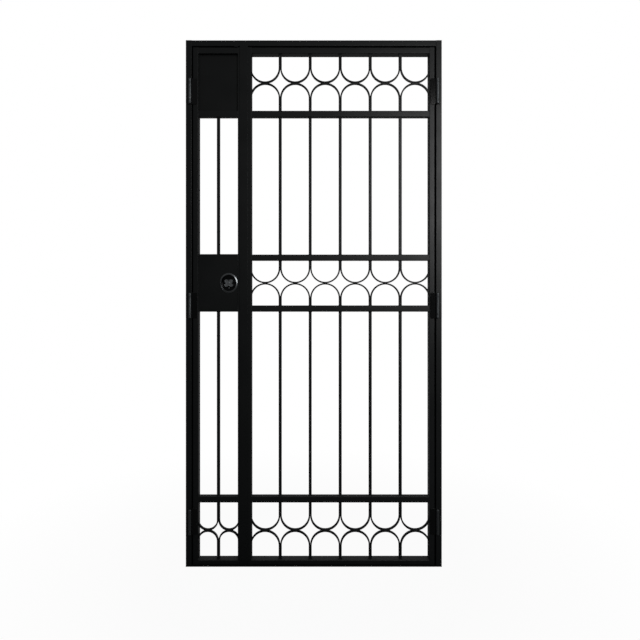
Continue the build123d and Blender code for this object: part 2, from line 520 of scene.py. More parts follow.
def round_edges(piece: Piece, radius: float, shortest: float, segments: int = 3) -> None:
    """Rounds the sharp edges of a piece that are long enough.

    Args:
        piece: Piece to round.
        radius: Radius of the rounding.
        shortest: Length that an edge has to have.
        segments: Flats across the rounding.
    """
    sharp = math.radians(SHARP_DEGREES)

    def wanted(edge: Edge) -> bool:
        """Says whether an edge is long and sharp."""
        long = len(edge.link_faces) == 2 and edge.calc_length() > shortest
        return long and edge.calc_face_angle() > sharp

    with editing(piece):
        pick_edges(piece, wanted)
        bpy.ops.mesh.bevel(offset=radius, segments=segments, profile=0.5, clamp_overlap=True)


def runs_through(edge: Edge, least: float) -> bool:
    """Says whether an edge spans more than this distance along Y."""
    return abs(edge.verts[1].co.y - edge.verts[0].co.y) > least


def placed_copy(template: Piece, place: Matrix) -> Piece:
    """Copies a piece, with its own mesh, to another place.

    Args:
        template: Piece to copy.
        place: Transform from the piece's own place to the new one.

    Returns:
        The new object.
    """
    twin = bpy.data.objects.new(template.name, template.data.copy())
    twin.data.transform(place)
    if place.determinant() < 0:
        twin.data.flip_normals()
    bpy.context.scene.collection.objects.link(twin)
    return twin


def joined(name: str, parts: list[Piece]) -> Piece:
    """Joins parts into one piece.

    Args:
        name: Name of the piece.
        parts: Objects to join.

    Returns:
        The joined object.
    """
    work_on(parts[0])
    for part in parts:
        part.select_set(True)
    bpy.ops.object.join()
    piece = bpy.context.object
    piece.name = piece.data.name = name
    return piece


def dress(piece: Piece, material: Material, body: str, slot: str, *nodes: str) -> None:
    """Gives a piece its material and body, and hides the CAD nodes that it stands for.

    Args:
        piece: Finished piece.
        material: Its material.
        body: CAD body that it rides on.
        slot: The record's slot that its finish comes from; not used.
        nodes: CAD nodes that it replaces.
    """
    piece.data.materials.clear()
    piece.data.materials.append(material)
    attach(piece, body)
    if nodes:
        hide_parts(*nodes)
    log.info("%s: %d faces on %s", piece.name, len(piece.data.polygons), body)


def between(lower: str, upper: str) -> Span:
    """Gives the heights of the opening between two level members.

    Args:
        lower: CAD node below the opening.
        upper: CAD node above it.

    Returns:
        The heights of the opening's bottom and top.
    """
    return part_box(lower)[1].z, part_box(upper)[0].z


def joint_place(name: str) -> Vector:
    """Gives the point that a joint of the record turns about."""
    return Vector(next(joint["pos_m"] for joint in frame["joints"] if joint["name"] == name))


class Body(Enum):
    """Bodies of the door that pieces ride on."""

    FRAME = "frame"
    LARGE = "large_leaf"
    SMALL = "small_leaf"
    KNOB = "turn_knob"


class Slot(Enum):
    """Material slots of the record that new pieces use."""

    PAINT = "black_painted_steel"
    HINGE = "hinge_enamel"
    NICKEL = "dark_nickel"


class Side(Enum):
    """Sides of the door, with the way along X from the middle to each."""

    LEFT = -1
    RIGHT = 1


class Run(Enum):
    """Axes that a weld bead runs along."""

    X = "X"
    Y = "Y"
    Z = "Z"


class Crown(Enum):
    """Ends of a knuckle that can be crowned."""

    LOWER = "lower"
    NEITHER = "neither"
    UPPER = "upper"


@dataclass(frozen=True)
class Leaf:
    """One leaf: its body, its side of the door, its hoops and what its CAD nodes are called."""

    name: str
    body: Body
    side: Side
    hoops_in_row: int
    hooped: tuple[Span, ...]
    bars: tuple[str, str]

    def node(self, member: str) -> str:
        """Gives the name of a CAD node or piece of this leaf."""
        return f"{self.name}_{member}"

    def openings(self) -> list[Span]:
        """Gives the heights of the openings that have hoops.

        Returns:
            The lower and upper height of each.
        """
        return [
            between(self.node(f"{lower}_rail"), self.node(f"{upper}_rail"))
            for lower, upper in self.hooped
        ]


LARGE_LEAF = Leaf(
    name="large",
    body=Body.LARGE,
    side=Side.RIGHT,
    hoops_in_row=6,
    hooped=(("upper", "top"), ("lock_lower", "lock_upper"), ("bottom", "lower")),
    bars=("upper_bars", "lower_bars"),
)
SMALL_LEAF = Leaf(
    name="small",
    body=Body.SMALL,
    side=Side.LEFT,
    hoops_in_row=2,
    hooped=(("bottom", "lower"),),
    bars=("upper_bar", "lower_bar"),
)
LEAVES = (LARGE_LEAF, SMALL_LEAF)


@dataclass
class Sections:
    """Rolled sections, flats and sheets, which keep their CAD forms and gain rounded edges."""

    rolled_radius: float = 2.2 * MM
    flat_radius: float = 0.6 * MM
    sheet_radius: float = 0.4 * MM
    shortest_rolled: float = 60 * MM
    shortest_flat: float = 8 * MM

    def soften(self, node: str, body: Body, radius: float, shortest: float, material: Material) -> None:
        """Replaces a CAD node by a copy with rounded edges.

        Args:
            node: CAD node to replace.
            body: Body that it rides on.
            radius: Radius of its edges.
            shortest: Length of the shortest edge that is rounded.
            material: Its material.
        """
        piece = merged_copy(f"dressed_{node}", node)
        round_edges(piece, radius, shortest)
        settle(piece)
        dress(piece, material, body.value, Slot.PAINT.value, node)

    def build(self, material: Material) -> None:
        """Dresses every section, flat and sheet of the frame and both leaves.

        Args:
            material: Their material.
        """
        for node in ("left_jamb", "right_jamb", "head"):
            self.soften(node, Body.FRAME, self.rolled_radius, self.shortest_rolled, material)
        for node in ("sill", "left_stop", "right_stop", "head_stop", "sill_stop"):
            self.soften(node, Body.FRAME, self.flat_radius, self.shortest_flat, material)
        for leaf in LEAVES:
            members = ["hinge_stile", "meeting_stile"] + [f"{rail}_rail" for rail in RAILS]
            for member in members:
                node = leaf.node(member)
                self.soften(node, leaf.body, self.rolled_radius, self.shortest_rolled, material)
        for leaf in LEAVES:
            for bars in leaf.bars:
                node = leaf.node(bars)
                self.soften(node, leaf.body, self.flat_radius, self.shortest_rolled, material)
        for node in ("small_top_panel", "lock_front_plate", "lock_back_plate"):
            self.soften(node, Body.SMALL, self.sheet_radius, self.shortest_rolled, material)


@dataclass
class HoopPanel:
    """Two facing rows of hoops, each hoop bent from one flat bar, in an opening of a leaf."""

    thickness: float = 6 * MM
    corner: float = 0.7 * MM
    corner_segments: int = 2
    bend_steps: int = 28
    overlap: float = 1 * MM

    def pitch(self, span: Box, count: int) -> float:
        """Gives the distance between the lines on which the hoops of a row meet.

        Args:
            span: Box of a leaf's hoops.
            count: Hoops in a row.

        Returns:
            Width of a hoop.
        """
        return (span[1].x - span[0].x + 2 * self.thickness) / count

    def hoop(self, centre: Vector, outer: float, depth: float, leg: float) -> Piece:
        """Bends one hoop with its legs down, about the middle of its bend.

        Args:
            centre: Centre of the bend.
            outer: Outer radius of the bend.
            depth: Width of the flat bar, along Y.
            leg: Length of each leg.

        Returns:
            The hoop.
        """
        clear_selection()
        start = centre + Vector((self.thickness / 2 - outer, 0, -leg))
        bpy.ops.mesh.primitive_plane_add(size=1, location=start)
        piece = bpy.context.object
        piece.scale = (self.thickness, depth, 1)
        bpy.ops.object.transform_apply(location=True, rotation=True, scale=True)
        up = Vector((0, 0, leg))
        with editing(piece):
            bpy.ops.mesh.select_all(action="SELECT")
            bpy.ops.mesh.bevel(
                offset=self.corner, segments=self.corner_segments, affect="VERTICES"
            )
            bpy.ops.mesh.select_all(action="SELECT")
            bpy.ops.mesh.extrude_region_move(TRANSFORM_OT_translate={"value": up})
            bpy.ops.mesh.spin(
                steps=self.bend_steps, angle=math.pi, center=centre, axis=(0, -1, 0)
            )
            bpy.ops.mesh.extrude_region_move(TRANSFORM_OT_translate={"value": -up})
            bpy.ops.mesh.select_all(action="SELECT")
            bpy.ops.mesh.remove_doubles(threshold=NEAR)
            bpy.ops.mesh.select_all(action="DESELECT")
            bpy.ops.mesh.select_interior_faces()
            bpy.ops.mesh.delete(type="FACE")
            bpy.ops.mesh.select_all(action="SELECT")
            bpy.ops.mesh.normals_make_consistent(inside=False)
        return piece

    def panel(self, low: Vector, high: Vector, count: int) -> list[Piece]:
        """Fills an opening with hoops.

        Args:
            low: Lowest corner of the opening.
            high: Highest corner of the opening.
            count: Hoops in a row.

        Returns:
            The hoops of both rows.
        """
        pitch = self.pitch((low, high), count)
        outer = pitch / 2
        middle = (low + high) / 2
        bend = middle.z + self.overlap / 2 - outer
        first = Vector((low.x - self.thickness + outer, middle.y, bend))
        template = self.hoop(first, outer, high.y - low.y, bend - low.z)
        half_turn = (
            Matrix.Translation((first.x, 0, middle.z))
            @ Matrix.Rotation(math.pi, 4, "Y")
            @ Matrix.Translation((-first.x, 0, -middle.z))
        )
        hoops = [template]
        for step in range(count):
            along = Matrix.Translation((pitch * step, 0, 0))
            if step:
                hoops.append(placed_copy(template, along))
            hoops.append(placed_copy(template, along @ half_turn))
        return hoops

    def build(self, leaf: Leaf, material: Material) -> None:
        """Makes the hoops of a leaf as one piece in place of their CAD node.

        Args:
            leaf: Leaf that has the hoops.
            material: Their material.
        """
        node = leaf.node("hoops")
        low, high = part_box(node)
        hoops = []
        for bottom, top in leaf.openings():
            lowest = Vector((low.x, low.y, bottom))
            highest = Vector((high.x, high.y, top))
            hoops += self.panel(lowest, highest, leaf.hoops_in_row)
        piece = joined(f"bent_{node}", hoops)
        # The stiles cut the outer legs off. Each cut leg leaves a sheet of no thickness in its
        # stile's face, and the faces that close the cuts can point either way
        with editing(piece):
            for edge, outward in ((low.x, -1), (high.x, 1)):
                bpy.ops.mesh.select_all(action="SELECT")
                bpy.ops.mesh.bisect(
                    plane_co=(edge, 0, 0),
                    plane_no=(outward, 0, 0),
                    use_fill=True,
                    clear_outer=True,
                )
        settle(piece)
        dress(piece, material, leaf.body.value, Slot.PAINT.value, node)


@dataclass
class WeldBead:
    """Short run of rippled weld metal along X, modelled once and copied to each joint."""

    length: float = 10 * MM
    radius: float = 1.7 * MM
    sides: int = 8
    ripples: int = 4
    trough: float = 0.82
    tip: float = 0.4
    smooth_degrees: float = 60.0

    def template(self) -> Piece:
        """Models the bead about the origin.

        Returns:
            The bead.
        """
        clear_selection()
        bpy.ops.mesh.primitive_cylinder_add(
            vertices=self.sides,
            radius=self.radius,
            depth=self.length,
            rotation=(0, math.pi / 2, 0),
        )
        piece = bpy.context.object
        bpy.ops.object.transform_apply(location=True, rotation=True, scale=True)
        stations = 2 * self.ripples
        step = self.length / stations
        with editing(piece):
            pick_edges(piece, lambda edge: edge.calc_length() > self.length / 2)
            bpy.ops.mesh.subdivide(number_cuts=stations - 1)
            for station in range(stations + 1):
                middle = station * step - self.length / 2
                at_end = station in (0, stations)
                share = self.tip if at_end else (self.trough if station % 2 == 0 else 1.0)
                pick_vertices(piece, lambda place, x=middle: abs(place.x - x) < step / 4)
                bpy.ops.transform.resize(value=(1, share, share), center_override=(middle, 0, 0))
        settle(piece, self.smooth_degrees)
        return piece


class Welds:
    """Weld beads of one leaf or hinge set, gathered into one piece."""

    def __init__(self, bead: WeldBead) -> None:
        """Models the bead that is copied.

        Args:
            bead: Sizes of the bead.
        """
        self.bead = bead
        self.template = bead.template()
        self.beads: list[Piece] = []

    def lay(self, middle: Vector, along: Run, length: float, flat: float = 1.0) -> None:
        """Lays a bead of a length about a point.

        Args:
            middle: Middle of the bead.
            along: Axis that it runs along.
            length: Its length.
            flat: Share of its height off the surface that grinding leaves, along Y.
        """
        turns = {
            Run.X: Matrix.Identity(4),
            Run.Y: Matrix.Rotation(math.pi / 2, 4, "Z"),
            Run.Z: Matrix.Rotation(-math.pi / 2, 4, "Y"),
        }
        stretch = Matrix.Diagonal((length / self.bead.length, 1, 1, 1))
        ground = Matrix.Diagonal((1, flat, 1, 1))
        place = Matrix.Translation(middle) @ ground @ turns[along] @ stretch
        self.beads.append(placed_copy(self.template, place))

    def round_end(self, middle: Vector, half_width: float, half_depth: float) -> None:
        """Lays beads round the end of an upright bar where it meets a rail.

        Args:
            middle: Middle of the bar's end.
            half_width: Half the bar's width, along X.
            half_depth: Half the bar's depth, along Y.
        """
        for sign in (-1, 1):
            beside = Vector((sign * half_width, 0, 0))
            before = Vector((0, sign * half_depth, 0))
            self.lay(middle + beside, Run.Y, 2 * half_depth)
            self.lay(middle + before, Run.X, 2 * half_width)

    def finish(self, name: str, body: Body, slot: Slot, material: Material) -> None:
        """Joins the beads into a piece on a body.

        Args:
            name: Name of the piece.
            body: Body that it rides on.
            slot: Material slot.
            material: Its material.
        """
        bpy.data.objects.remove(self.template)
        piece = joined(name, self.beads)
        settle(piece, self.bead.smooth_degrees)
        dress(piece, material, body.value, slot.value)


@dataclass
class LeafWelds:
    """Welds of a leaf: bars and hoop legs to rails, crown to crown, leg to leg, rails to stiles."""

    hoop_panel: HoopPanel
    crown_run: float = 15 * MM
    crown_ground: float = 0.8
    tack_run: float = 11 * MM
    tack_ground: float = 0.7
    seam_ground: float = 0.35
    seam_sink: float = 0.4 * MM
    fillet_inset: float = 2 * MM

    def hoops(self, welds: Welds, span: Box, opening: Span, count: int) -> None:
        """Lays the beads of one hoop panel.

        Args:
            welds: Beads of the leaf.
            span: Box of the leaf's hoops.
            opening: Bottom and top height of the panel.
            count: Hoops in a row.
        """
        low, high = span
        bottom, top = opening
        strip = self.hoop_panel.thickness
        pitch = self.hoop_panel.pitch(span, count)
        left = low.x - strip
        middle = (low + high) / 2
        centre_z = (bottom + top) / 2
        half_depth = (high.y - low.y) / 2
        rise = pitch / 2 - self.hoop_panel.overlap / 2
        for step in range(count):
            crown_x = left + pitch * (step + 0.5)
            for face in (low.y, high.y):
                crown = Vector((crown_x, face, centre_z))
                welds.lay(crown, Run.X, self.crown_run, self.crown_ground)
        for step in range(1, count):
            line_x = left + pitch * step
            for height in (bottom, top):
                welds.round_end(Vector((line_x, middle.y, height)), strip, half_depth)
            for height in (centre_z - rise - strip, centre_z + rise + strip):
                for face in (low.y, high.y):
                    tack = Vector((line_x, face, height))
                    welds.lay(tack, Run.Z, self.tack_run, self.tack_ground)
        # Where the first and last bends leave the stiles
        spring = math.sqrt((pitch / 2) ** 2 - (pitch / 2 - strip) ** 2)
        for edge in (low.x, high.x):
            for height in (centre_z - rise + spring, centre_z + rise - spring):
                welds.lay(Vector((edge, middle.y, height)), Run.Y, 2 * half_depth)

    def bars(self, welds: Welds, node: str, span: Box, count: int) -> None:
        """Lays the beads round the ends of a row of bars.

        Args:
            welds: Beads of the leaf.
            node: CAD node of the bars.
            span: Box of the leaf's hoops, which share the bars' lines.
            count: Hoops in a row above and below the bars.
        """
        low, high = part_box(node)
        pitch = self.hoop_panel.pitch(span, count)
        half = (high.y - low.y) / 2
        for step in range(1, count):
            line_x = span[0].x - self.hoop_panel.thickness + pitch * step
            for height in (low.z, high.z):
                welds.round_end(Vector((line_x, (low.y + high.y) / 2, height)), half, half)

    def rails(self, welds: Welds, leaf: Leaf) -> None:
        """Lays the ground front seams and the back fillets of a leaf's rails.

        Args:
            welds: Beads of the leaf.
            leaf: Leaf that has the rails.
        """
        for rail in RAILS:
            low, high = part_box(leaf.node(f"{rail}_rail"))
            middle = (low + high) / 2
            height = high.z - low.z
            fillet = high.y - low.y - 2 * self.fillet_inset
            for edge in (low.x, high.x):
                seam = Vector((edge, low.y + self.seam_sink, middle.z))
                welds.lay(seam, Run.Z, height, self.seam_ground)
                for level in (low.z, high.z):
                    welds.lay(Vector((edge, middle.y, level)), Run.Y, fillet)

    def build(self, leaf: Leaf, material: Material) -> None:
        """Lays every bead of a leaf and makes them one piece.

        Args:
            leaf: Leaf to weld.
            material: Material of the beads.
        """
        welds = Welds(WeldBead())
        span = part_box(leaf.node("hoops"))
        for opening in leaf.openings():
            self.hoops(welds, span, opening, leaf.hoops_in_row)
        for bars in leaf.bars:
            self.bars(welds, leaf.node(bars), span, leaf.hoops_in_row)
        self.rails(welds, leaf)
        welds.finish(leaf.node("leaf_welds"), leaf.body, Slot.PAINT, material)


@dataclass
class Hinge:
    """Weld-on butt hinge: two flaps, a long moving knuckle and a crowned fixed one at each end."""

    length: float = 104 * MM
    end_knuckle: float = 17 * MM
    gap: float = 1 * MM
    knuckle_radius: float = 6.5 * MM
    pin_radius: float = 3 * MM
    crown: float = 3.4 * MM
    rim: float = 0.5 * MM
    knuckle_rim: float = 1.2 * MM
    flap_thickness: float = 3 * MM
    flap_corner: float = 3 * MM
    flap_clear: float = 7 * MM
    neck_step: float = 0.15 * MM
    facets: int = 40

    def knuckle(self, axis: Vector, low: float, high: float, crowned: Crown) -> Piece:
        """Turns a knuckle about the pin.

        Args:
            axis: A point on the pin's axis.
            low: Height of its lower end.
            high: Height of its upper end.
            crowned: End that is crowned.

        Returns:
            The knuckle.
        """
        clear_selection()
        bpy.ops.mesh.primitive_cylinder_add(
            vertices=self.facets,
            radius=self.knuckle_radius,
            depth=high - low,
            location=(axis.x, axis.y, (low + high) / 2),
        )
        piece = bpy.context.object
        bpy.ops.object.transform_apply(location=True, rotation=True, scale=True)
        ends = {Crown.LOWER: low, Crown.UPPER: high}
        plain_levels = [level for end, level in ends.items() if end is not crowned]

        def rim_at(levels: list[float]) -> Callable[[Edge], bool]:
            """Makes a test for edges that lie at one of these heights.

            Args:
                levels: The heights.

            Returns:
                The test.
            """
            return lambda edge: any(
                all(abs(vertex.co.z - level) < NEAR for vertex in edge.verts) for level in levels
            )

        with editing(piece):
            pick_edges(piece, rim_at(plain_levels))
            bpy.ops.mesh.bevel(offset=self.knuckle_rim, segments=2, profile=0.5)
            if crowned in ends:
                pick_edges(piece, rim_at([ends[crowned]]))
                bpy.ops.mesh.bevel(offset=self.crown, segments=5, profile=0.5)
        return piece

    def flap(self, low: Vector, high: Vector) -> Piece:
        """Cuts a flap with round corners and eased edges.

        Args:
            low: Its lowest corner.
            high: Its highest corner.

        Returns:
            The flap.
        """
        piece = block("flap", low, high)
        with editing(piece):
            pick_edges(piece, lambda edge: runs_through(edge, self.flap_thickness / 2))
            bpy.ops.mesh.bevel(offset=self.flap_corner, segments=4, profile=0.5)
        round_edges(piece, self.rim, shortest=0, segments=2)
        return piece

    def reach(self, axis: Vector, outwards: int, plates: Box) -> Span:
        """Gives where a flap starts beside the pin, and where it ends.

        Args:
            axis: A point on the pin's axis.
            outwards: Way that the flap lies from the pin, 1 or -1 along X.
            plates: Box of the CAD node that holds the flap.

        Returns:
            X of its edge beside the pin and of its far edge.
        """
        far = plates[1].x if outwards > 0 else plates[0].x
        return axis.x + outwards * self.flap_clear, far

    def pin(self, axis: Vector, middle: float, length: float) -> Piece:
        """Turns the pin.

        Args:
            axis: A point on its axis.
            middle: Height of its middle.
            length: Its length.

        Returns:
            The pin, whose ends are inside the fixed knuckles.
        """
        clear_selection()
        bpy.ops.mesh.primitive_cylinder_add(
            vertices=self.facets // 2,
            radius=self.pin_radius,
            depth=length,
            location=(axis.x, axis.y, middle),
        )
        piece = bpy.context.object
        bpy.ops.object.transform_apply(location=True, rotation=True, scale=True)
        return piece

    def half(
        self, axis: Vector, middle: float, outwards: int, plates: Box, fixed: bool
    ) -> tuple[list[Piece], list[Piece]]:
        """Makes one half of a hinge.

        Args:
            axis: A point on the pin's axis.
            middle: Height of the hinge's middle.
            outwards: Way that its flap lies from the pin, 1 or -1 along X.
            plates: Box of the CAD node that holds this half.
            fixed: Whether it is the half on the jamb.

        Returns:
            Its flap with the necks, and its knuckles with the pin.
        """
        low = middle - self.length / 2
        high = middle + self.length / 2
        inner_low = low + self.end_knuckle
        inner_high = high - self.end_knuckle
        near, far = self.reach(axis, outwards, plates)
        left, right = sorted((near, far))
        back = plates[1].y
        front = back - self.flap_thickness
        flats = [self.flap(Vector((left, front, low)), Vector((right, back, high)))]
        barrels = []
        if fixed:
            spans = [(low, inner_low, Crown.LOWER), (inner_high, high, Crown.UPPER)]
        else:
            spans = [(inner_low + self.gap, inner_high - self.gap, Crown.NEITHER)]
        neck_left, neck_right = sorted((axis.x, near + outwards * self.flap_corner))
        neck_front = front + self.neck_step
        for bottom, top, crowned in spans:
            barrels.append(self.knuckle(axis, bottom, top, crowned))
            neck_low = bottom + (self.crown if crowned is Crown.LOWER else self.knuckle_rim)
            neck_high = top - (self.crown if crowned is Crown.UPPER else self.knuckle_rim)
            lowest = Vector((neck_left, neck_front, neck_low))
            highest = Vector((neck_right, back, neck_high))
            flats.append(block("neck", lowest, highest))
        if fixed:
            barrels.append(self.pin(axis, middle, inner_high - inner_low + 2 * self.gap))
        return flats, barrels


@dataclass
class HingeSets:
    """The three hinges of each side, with the welds that hold their flaps."""

    hinge: Hinge
    fixed_flap: Material
    moving_flap: Material
    knuckle: Material
    weld: Material
    bead_radius: float = 1.3 * MM
    bead_sink: float = 0.4 * MM
    end_inset: float = 1.5 * MM
    weld_run: float = 9 * MM
    smooth_degrees: float = 35.0

    def weld_ends(self, welds: Welds, edges: Span, middle: float, face: float) -> None:
        """Lays beads along the top and bottom of a flap.

        Args:
            welds: Beads of the body.
            edges: X of the flap's two upright edges.
            middle: Height of the hinge's middle.
            face: Depth of the face that the flap lies on.
        """
        left, right = sorted(edges)
        for sign in (-1, 1):
            height = middle + sign * self.hinge.length / 2
            centre = Vector(((left + right) / 2, face - self.bead_sink, height))
            welds.lay(centre, Run.X, right - left - 2 * self.end_inset)

    def weld_edge(self, welds: Welds, edge: float, middle: float, face: float) -> None:
        """Lays a line of beads along the far edge of a flap.

        Args:
            welds: Beads of the body.
            edge: X of the edge.
            middle: Height of the hinge's middle.
            face: Depth of the face that the flap lies on.
        """
        runs = int(self.hinge.length / self.weld_run) - 1
        start = middle - (runs - 1) * self.weld_run / 2
        for run in range(runs):
            place = Vector((edge, face - self.bead_sink, start + run * self.weld_run))
            welds.lay(place, Run.Z, self.weld_run)

    def halves(self, leaf: Leaf, fixed: bool) -> None:
        """Makes the three halves on the jamb or on the leaf of one side.

        Args:
            leaf: Leaf that hangs on that side.
            fixed: Whether they are the halves on the jamb.
        """
        axis = joint_place(f"{leaf.name}_leaf_swing")
        jamb = f"{leaf.side.name.lower()}_jamb_hinge_plates"
        node = jamb if fixed else leaf.node("hinge_plates")
        owner = Body.FRAME if fixed else leaf.body
        enamel = self.fixed_flap if fixed else self.moving_flap
        outwards = leaf.side.value if fixed else -leaf.side.value
        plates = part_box(node)
        low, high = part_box(jamb)
        half_length = self.hinge.length / 2
        flats = []
        barrels = []
        welds = Welds(WeldBead(radius=self.bead_radius))
        for middle in (low.z + half_length, axis.z, high.z - half_length):
            flat, barrel = self.hinge.half(axis, middle, outwards, plates, fixed)
            flats += flat
            barrels += barrel
            near, far = self.hinge.reach(axis, outwards, plates)
            self.weld_ends(welds, (near, far), middle, plates[1].y)
            if not fixed:
                self.weld_edge(welds, far, middle, plates[1].y)
        for name, parts, material in (
            (f"dressed_{node}", flats, enamel),
            (f"{node}_knuckles", barrels, self.knuckle),
        ):
            piece = joined(name, parts)
            settle(piece, self.smooth_degrees)
            dress(piece, material, owner.value, Slot.HINGE.value, node)
        welds.finish(f"{node}_welds", owner, Slot.PAINT, self.weld)

    def build(self) -> None:
        """Makes the hinges of both sides."""
        for leaf in LEAVES:
            for fixed in (True, False):
                self.halves(leaf, fixed)


@dataclass
class LockDial:
    """Round rose with its deep dish, and the lobed knob in it."""

    facets: int = 72
    crest: float = 5 * MM
    depth: float = 16 * MM
    wall: float = 1.5 * MM
    dish: float = 30 * MM
    rim: float = 37 * MM
    slope_share: float = 0.55
    tall: float = 1.1
    lip: float = 3 * MM
    bore: float = 5.1 * MM
    ring_smooth: float = 50.0
    shortest_side: float = 8 * MM
    lobe_radius: float = 1.3 * MM
    edge_radius: float = 1.0 * MM
    ridge: float = 2.2 * MM
    sink: float = 0.9 * MM
    boss_radius: float = 4.2 * MM
    knob_smooth: float = 32.0
    lug_width: float = 4.5 * MM
    lug_height: float = 7.2 * MM
    lug_depth: float = 7 * MM
    lug_below_knob: float = 1.5 * MM
    lug_taper: float = 0.3
    lug_radius: float = 0.5 * MM

    def turned(self, name: str, centre: Vector, stations: list[Span], closed: bool) -> Piece:
        """Draws a ring out of a circle, station by station, about an axis along Y.

        Args:
            name: Name of the piece.
            centre: Point on the axis that depths are counted from.
            stations: Radius and depth of each station.
            closed: Whether the last station runs back into the first; otherwise both are filled.

        Returns:
            The turned piece.
        """
        clear_selection()
        first_radius, first_depth = stations[0]
        bpy.ops.mesh.primitive_circle_add(
            vertices=self.facets,
            radius=first_radius,
            fill_type="NOTHING",
            location=centre + Vector((0, first_depth, 0)),
            rotation=(math.pi / 2, 0, 0),
        )
        piece = bpy.context.object
        piece.name = piece.data.name = name
        bpy.ops.object.transform_apply(location=True, rotation=True, scale=True)
        route = stations + stations[:1] if closed else stations
        with editing(piece):
            bpy.ops.mesh.select_all(action="SELECT")
            if not closed:
                bpy.ops.mesh.edge_face_add()
            for (radius, depth), (next_radius, next_depth) in zip(route, route[1:]):
                shift = Vector((0, next_depth - depth, 0))
                bpy.ops.mesh.extrude_region_move(TRANSFORM_OT_translate={"value": shift})
                share = next_radius / radius
                bpy.ops.transform.resize(
                    value=(share, 1, share), center_override=centre + Vector((0, next_depth, 0))
                )
            bpy.ops.mesh.select_all(action="SELECT")
            bpy.ops.mesh.remove_doubles(threshold=NEAR)
            bpy.ops.mesh.normals_make_consistent(inside=False)
        return piece

    def stretch(self, piece: Piece, centre: Vector) -> None:
        """Makes a turned piece slightly taller than it is wide.

        Args:
            piece: The turned piece.
            centre: Point that it is stretched about.
        """
        with editing(piece):
            bpy.ops.mesh.select_all(action="SELECT")
            bpy.ops.transform.resize(value=(1, 1, self.tall), center_override=centre)

    def ring(self, centre: Vector) -> Piece:
        """Makes the ring of the rose: a short upright edge, a shallow slope and a round lip.

        Args:
            centre: Point on its axis, in the face of the plate.

        Returns:
            The ring.
        """
        outside = self.dish + self.wall
        slope_foot = self.slope_share * self.crest
        stations = [
            # Upright edge, with its corner eased
            (self.rim, 0.0),
            (self.rim, -slope_foot + 0.8 * MM),
            (self.rim - 0.35 * MM, -slope_foot),
            # Slope up to the round lip
            (self.rim - 1.2 * MM, -slope_foot - 0.5 * MM),
            (outside + 0.6 * MM, -self.crest + 0.3 * MM),
            (outside - 0.4 * MM, -self.crest),
            (self.dish + 0.4 * MM, -self.crest + 0.4 * MM),
            (self.dish, -self.crest + 1.2 * MM),
            # Inside, where the dish goes on
            (self.dish, self.lip),
            (outside, self.lip),
            (outside, 0.0),
        ]
        return self.turned("dressed_lock_rose", centre, stations, closed=True)

    def well(self, centre: Vector) -> Piece:
        """Makes the deep dish inside the ring.

        Args:
            centre: Point on its axis, in the face of the plate.

        Returns:
            The dish.
        """
        outside = self.dish + self.wall
        floor = self.depth - self.wall
        stations = [
            (outside, self.depth),
            (outside, self.lip),
            (self.dish, self.lip),
            # Round corner between the wall and the floor
            (self.dish, floor - 2 * MM),
            (self.dish - 0.6 * MM, floor - 0.6 * MM),
            (self.dish - 2 * MM, floor),
            # Bore for the knob's spindle
            (self.bore, floor),
            (self.bore, self.depth),
        ]
        return self.turned("lock_dish", centre, stations, closed=True)

    def knob(self, centre: Vector) -> Piece:
        """Rounds the lobes of the knob, sinks its face and sets a boss in the middle.

        Args:
            centre: Point on its axis, in the face of the plate.

        Returns:
            The knob.
        """
        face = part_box("lock_knob")[0].y
        piece = merged_copy("dressed_lock_knob", "lock_knob")

        def across(edge: Edge) -> bool:
            """Says whether an edge runs from the knob's face to its back."""
            length = edge.calc_length()
            return length > self.shortest_side and runs_through(edge, 0.9 * length)

        def on_face(side: Face) -> bool:
            """Says whether a side of the mesh is the knob's face."""
            return side.normal.y < -0.99 and side.calc_center_median().y < face + NEAR

        def round_face(edge: Edge) -> bool:
            """Says whether an edge runs round the knob's face."""
            at_face = all(abs(vertex.co.y - face) < NEAR for vertex in edge.verts)
            return at_face and any(abs(side.normal.y) < 0.1 for side in edge.link_faces)

        with editing(piece):
            pick_edges(piece, across)
            bpy.ops.mesh.bevel(offset=self.lobe_radius, segments=3, profile=0.5, clamp_overlap=True)
            pick_faces(piece, on_face)
            bpy.ops.mesh.inset(thickness=self.ridge, depth=0)
            bpy.ops.transform.translate(value=(0, self.sink, 0))
            pick_edges(piece, round_face)
            bpy.ops.mesh.bevel(offset=self.edge_radius, segments=3, profile=0.5, clamp_overlap=True)
        level = face - centre.y
        # From inside the sunk face up to the boss's eased top
        boss_stations = [
            (self.boss_radius, level + self.sink + 1 * MM),
            (self.boss_radius, level + 0.6 * MM),
            (self.boss_radius - 0.7 * MM, level + 0.1 * MM),
            (self.boss_radius - 2 * MM, level + 0.1 * MM),
        ]
        boss = self.turned("boss", centre, boss_stations, closed=False)
        return joined("dressed_lock_knob", [piece, boss])

    def pointer_lug(self, centre: Vector) -> Piece:
        """Makes the small lug on the floor of the dish, below the knob.

        Args:
            centre: Point on the lock's axis, in the face of the plate.

        Returns:
            The lug.
        """
        floor = centre.y + self.depth - self.wall
        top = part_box("lock_knob")[0].z - self.lug_below_knob
        half = self.lug_width / 2
        low = Vector((centre.x - half, floor - self.lug_depth, top - self.lug_height))
        high = Vector((centre.x + half, floor, top))
        lug = block("lock_pointer_lug", low, high)
        with editing(lug):
            pick_vertices(lug, lambda place: place.z < (low.z + top) / 2)
            foot = (centre.x, centre.y, low.z)
            bpy.ops.transform.resize(value=(self.lug_taper, 1, 1), center_override=foot)
        round_edges(lug, self.lug_radius, shortest=self.lug_radius)
        return lug

    def build(self, nickel: Material, satin: Material, dish: Material) -> None:
        """Makes the ring, dish, lug and knob.

        Args:
            nickel: Material of the ring.
            satin: Material of the knob and lug.
            dish: Material of the dish, black so that its deep recess reads dark: painted shade.
        """
        centre = joint_place("knob_turn")
